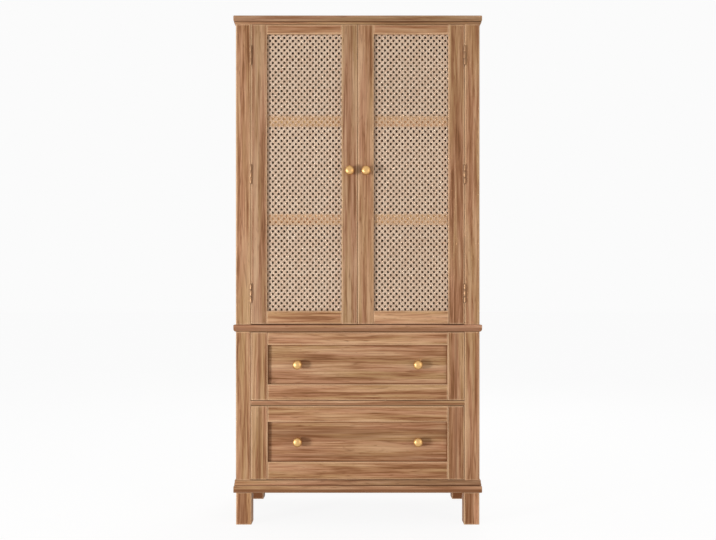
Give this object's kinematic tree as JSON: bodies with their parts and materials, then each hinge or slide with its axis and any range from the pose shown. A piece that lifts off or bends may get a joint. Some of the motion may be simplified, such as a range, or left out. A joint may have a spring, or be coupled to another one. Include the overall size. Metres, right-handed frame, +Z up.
{
  "type": "rattan storage cabinet",
  "caption": "Tall free-standing wooden cabinet with caned cupboard doors and shelves over framed drawers with round brass knobs, on plain square legs.",
  "frame": {"origin": "on the floor, under the middle of the whole object's bounding box", "axes": "+Z up, front with doors and drawers towards -Y, +X to the right of someone facing the front"},
  "size_m": [0.8, 0.42, 1.64],
  "materials": {
    "brown_wood": "oiled open-grained hardwood, satin",
    "plywood": "plain plywood, lightly sealed",
    "cane": "natural woven cane webbing",
    "brass": "satin brass",
    "slide_steel": "zinc-plated steel",
    "catch_plastic": "brown moulded plastic"
  },
  "bodies": {
    "cabinet": {"legs": "brown_wood", "base_board": "brown_wood", "base_frame": "brown_wood", "lower_side_panels": "brown_wood", "lower_posts": "brown_wood", "drawer_divider_rail": "brown_wood", "waist_board": "brown_wood", "upper_side_panels": "brown_wood", "upper_posts": "brown_wood", "cornice_frame": "brown_wood", "top_board": "brown_wood", "lower_shelf": "brown_wood", "upper_shelf": "brown_wood", "shelf_bearers": "brown_wood", "lower_back_panel": "plywood", "upper_back_panel": "plywood", "slide_packers": "plywood", "case_hinge_leaves": "brass", "door_catches": "catch_plastic", "case_slides": "slide_steel"},
    "left_door": {"left_door_stiles": "brown_wood", "left_door_rails": "brown_wood", "left_door_cane": "cane", "left_door_cane_beads": "brown_wood", "left_door_cane_bars": "brown_wood", "left_door_hinge_leaves": "brass", "left_door_strike_plate": "slide_steel", "left_door_knob": "brass"},
    "right_door": {"right_door_stiles": "brown_wood", "right_door_rails": "brown_wood", "right_door_cane": "cane", "right_door_cane_beads": "brown_wood", "right_door_cane_bars": "brown_wood", "right_door_hinge_leaves": "brass", "right_door_strike_plate": "slide_steel", "right_door_knob": "brass"},
    "upper_drawer": {"upper_drawer_front_stiles": "brown_wood", "upper_drawer_front_rails": "brown_wood", "upper_drawer_front_panel": "brown_wood", "upper_drawer_box_sides": "plywood", "upper_drawer_box_ends": "plywood", "upper_drawer_box_bottom": "plywood", "upper_drawer_slides": "slide_steel", "upper_drawer_knobs": "brass"},
    "lower_drawer": {"lower_drawer_front_stiles": "brown_wood", "lower_drawer_front_rails": "brown_wood", "lower_drawer_front_panel": "brown_wood", "lower_drawer_box_sides": "plywood", "lower_drawer_box_ends": "plywood", "lower_drawer_box_bottom": "plywood", "lower_drawer_slides": "slide_steel", "lower_drawer_knobs": "brass"},
    "upper_carriages": {"upper_drawer_carriages": "slide_steel"},
    "lower_carriages": {"lower_drawer_carriages": "slide_steel"}
  },
  "joints": [
    {"name": "left_door_hinge", "type": "hinge", "parent": "cabinet", "child": "left_door", "pos_m": [-0.3444, -0.1832, 1.12985], "axis": [0, 0, -1], "range_deg": [0, 170]},
    {"name": "right_door_hinge", "type": "hinge", "parent": "cabinet", "child": "right_door", "pos_m": [0.3444, -0.1832, 1.12985], "axis": [0, 0, 1], "range_deg": [0, 170]},
    {"name": "upper_drawer_slide", "type": "slide", "parent": "cabinet", "child": "upper_drawer", "axis": [0, -1, 0], "range_m": [0, 0.3]},
    {"name": "lower_drawer_slide", "type": "slide", "parent": "cabinet", "child": "lower_drawer", "axis": [0, -1, 0], "range_m": [0, 0.3]},
    {"name": "upper_carriage_slide", "type": "slide", "parent": "cabinet", "child": "upper_carriages", "axis": [0, -1, 0], "range_m": [0, 0.15]},
    {"name": "lower_carriage_slide", "type": "slide", "parent": "cabinet", "child": "lower_carriages", "axis": [0, -1, 0], "range_m": [0, 0.15]}
  ],
  "couplings": [
    {"joint": "upper_carriage_slide", "follows": "upper_drawer_slide", "ratio": 0.5},
    {"joint": "lower_carriage_slide", "follows": "lower_drawer_slide", "ratio": 0.5}
  ]
}
